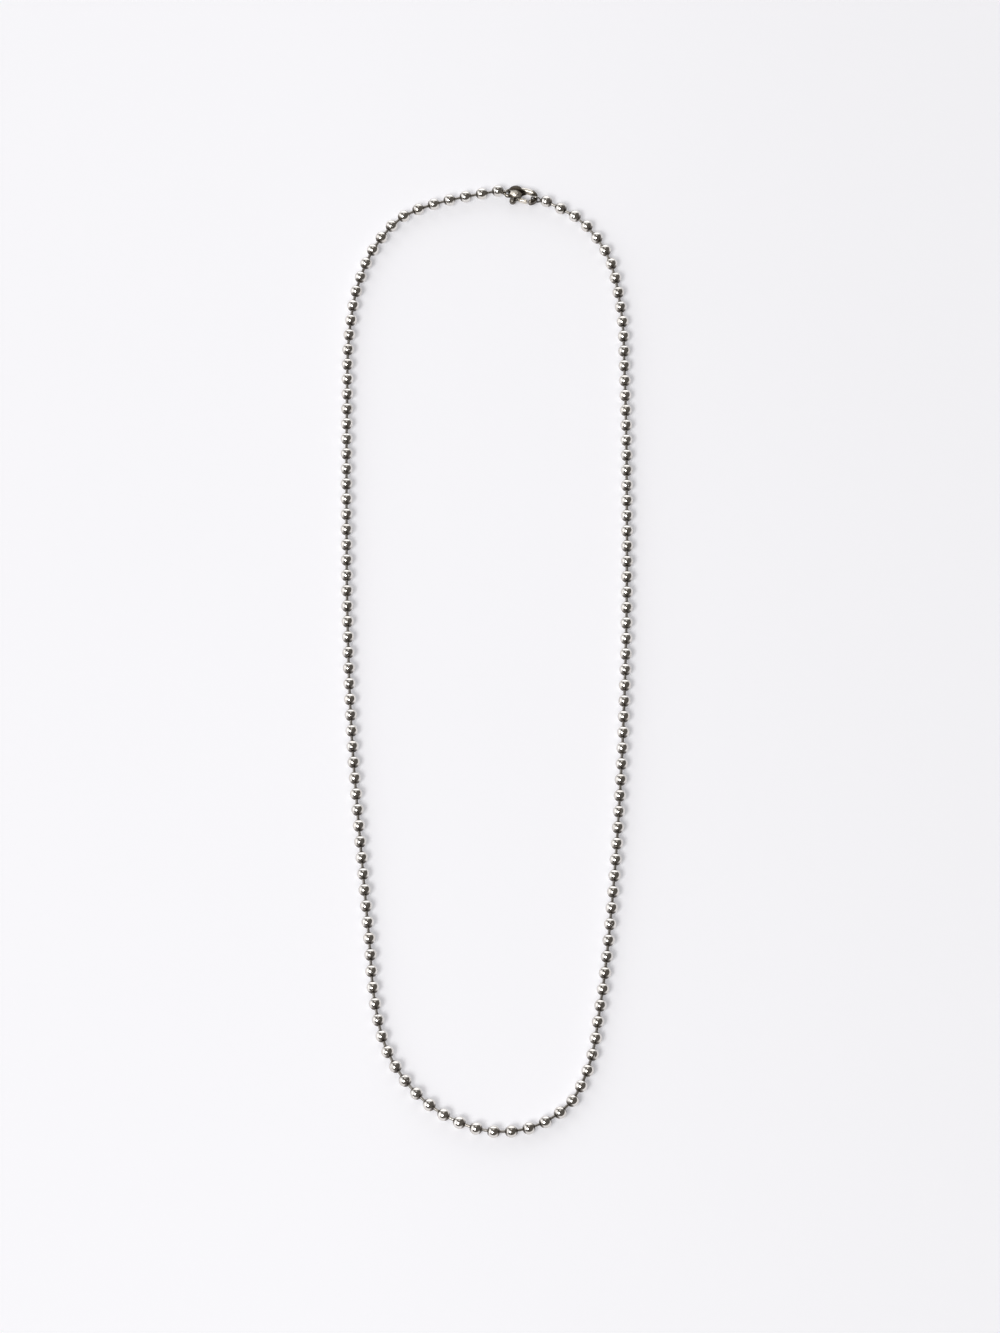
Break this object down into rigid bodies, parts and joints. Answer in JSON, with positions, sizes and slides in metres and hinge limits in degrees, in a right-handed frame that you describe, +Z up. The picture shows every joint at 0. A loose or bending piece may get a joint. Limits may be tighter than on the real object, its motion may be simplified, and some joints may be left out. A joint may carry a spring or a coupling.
{
  "type": "ball chain necklace",
  "caption": "Ball chain necklace lying flat as one closed loop: hollow round metal beads on short knobbed rods, fastened by a small lobster claw clasp with a sprung lever.",
  "frame": {"origin": "middle of the necklace's footprint, on the surface that it lies on", "axes": "+Y along the loop's long way towards the clasp, +X across the loop to the claw's side, +Z up from the surface"},
  "size_m": [0.0764, 0.27, 0.0032],
  "materials": {
    "chain_silver": "polished silver, slightly tarnished",
    "clasp_silver": "polished silver with a warm tarnish",
    "pin_silver": "polished silver, duller than the clasp"
  },
  "bodies": {
    "necklace": {"bead_chain": "chain_silver", "end_link_left": "chain_silver", "end_link_right": "chain_silver", "clasp_body": "clasp_silver", "lever_pin": "pin_silver"},
    "clasp_lever": {"clasp_lever": "clasp_silver"}
  },
  "joints": [
    {"name": "lever_hinge", "type": "hinge", "parent": "necklace", "child": "clasp_lever", "pos_m": [0.0081, 0.13182, 0.0015], "axis": [0, 0, 1], "range_deg": [0, 28], "stiffness_Nm_per_rad": 0.0005}
  ]
}
